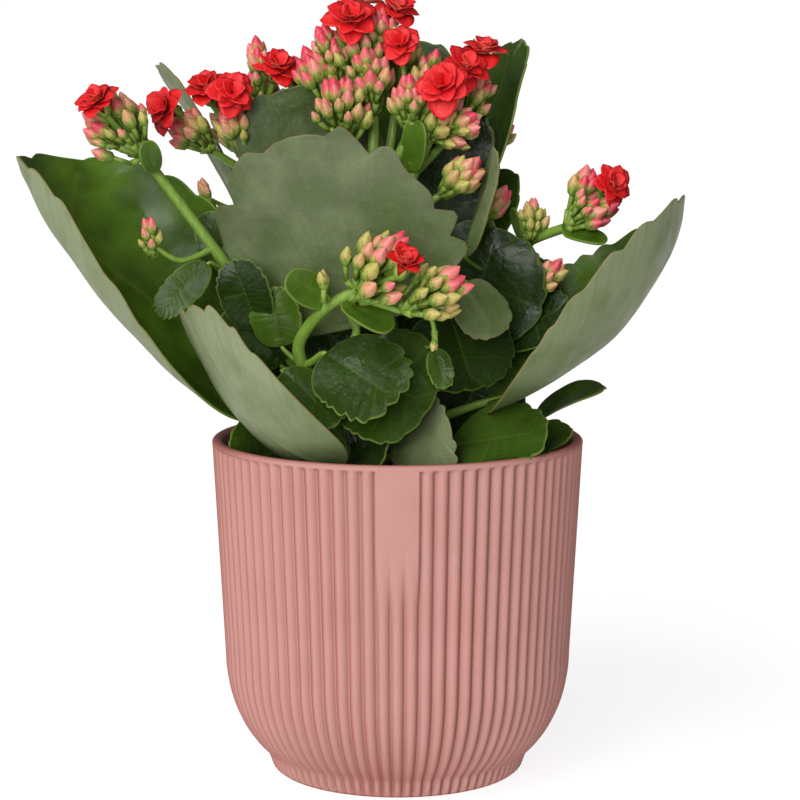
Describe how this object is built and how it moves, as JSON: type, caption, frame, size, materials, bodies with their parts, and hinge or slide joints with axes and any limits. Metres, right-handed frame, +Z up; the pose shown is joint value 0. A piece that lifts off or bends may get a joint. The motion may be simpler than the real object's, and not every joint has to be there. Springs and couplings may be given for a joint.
{
  "type": "potted kalanchoe",
  "caption": "Flowering kalanchoe with broad scalloped leaves and clusters of red double flowers and pink buds, in a tapered matte pot with vertical reeding.",
  "frame": {"origin": "centre of the pot's foot, on the surface that it rests on", "axes": "+Z up along the pot's axis; -Y is the front, where the pot's plain tongue and the pale leaf fronts face; +X to the right seen from the front"},
  "size_m": [0.2437, 0.1805, 0.2953],
  "materials": {
    "pot_plastic": "matte, dusty pink",
    "potting_soil": "rough, dark peat",
    "green_stem": "fleshy, satin, yellow green",
    "leaf_flesh": "fleshy, waxy sheen, dark green above and pale grey green below",
    "flower_buds": "soft satin, pink over green calyxes",
    "red_petals": "velvety, bright red"
  },
  "bodies": {
    "root": {"pot": "pot_plastic", "soil": "potting_soil", "stem_back": "green_stem", "stem_front": "green_stem", "stem_left": "green_stem", "stem_middle": "green_stem", "stem_rear": "green_stem", "stem_right": "green_stem", "leaf_back_large": "leaf_flesh", "leaf_back_left": "leaf_flesh", "leaf_back_right": "leaf_flesh", "leaf_centre_large": "leaf_flesh", "leaf_centre_right": "leaf_flesh", "leaf_centre_small": "leaf_flesh", "leaf_front_left": "leaf_flesh", "leaf_front_pale": "leaf_flesh", "leaf_front_right": "leaf_flesh", "leaf_front_rosette": "leaf_flesh", "leaf_left_bright": "leaf_flesh", "leaf_left_dark": "leaf_flesh", "leaf_left_inner": "leaf_flesh", "leaf_left_large": "leaf_flesh", "leaf_left_mid": "leaf_flesh", "leaf_left_serrated": "leaf_flesh", "leaf_left_slant": "leaf_flesh", "leaf_left_tall": "leaf_flesh", "leaf_middle_left": "leaf_flesh", "leaf_middle_right": "leaf_flesh", "leaf_right_behind": "leaf_flesh", "leaf_right_dark": "leaf_flesh", "leaf_right_large": "leaf_flesh", "leaf_right_low": "leaf_flesh", "leaf_right_pointed": "leaf_flesh", "leaf_right_round": "leaf_flesh", "leaf_right_sliver": "leaf_flesh", "leaf_rim_left": "leaf_flesh", "leaf_rim_right": "leaf_flesh", "leaf_top_behind": "leaf_flesh", "leaf_upper_left": "leaf_flesh", "leaf_upper_right": "leaf_flesh", "spray_back": "flower_buds", "spray_front": "flower_buds", "spray_left": "flower_buds", "spray_right": "flower_buds", "spray_top": "flower_buds", "spray_top_right": "flower_buds", "spray_upper_left": "flower_buds", "bloom_back": "red_petals", "bloom_centre": "red_petals", "bloom_front": "red_petals", "bloom_left": "red_petals", "bloom_left_side": "red_petals", "bloom_right": "red_petals", "bloom_right_side": "red_petals", "bloom_right_upper": "red_petals", "bloom_top": "red_petals", "bloom_top_left": "red_petals", "bloom_top_right": "red_petals", "bloom_upper_left": "red_petals", "bloom_upper_middle": "red_petals"}
  },
  "joints": []
}
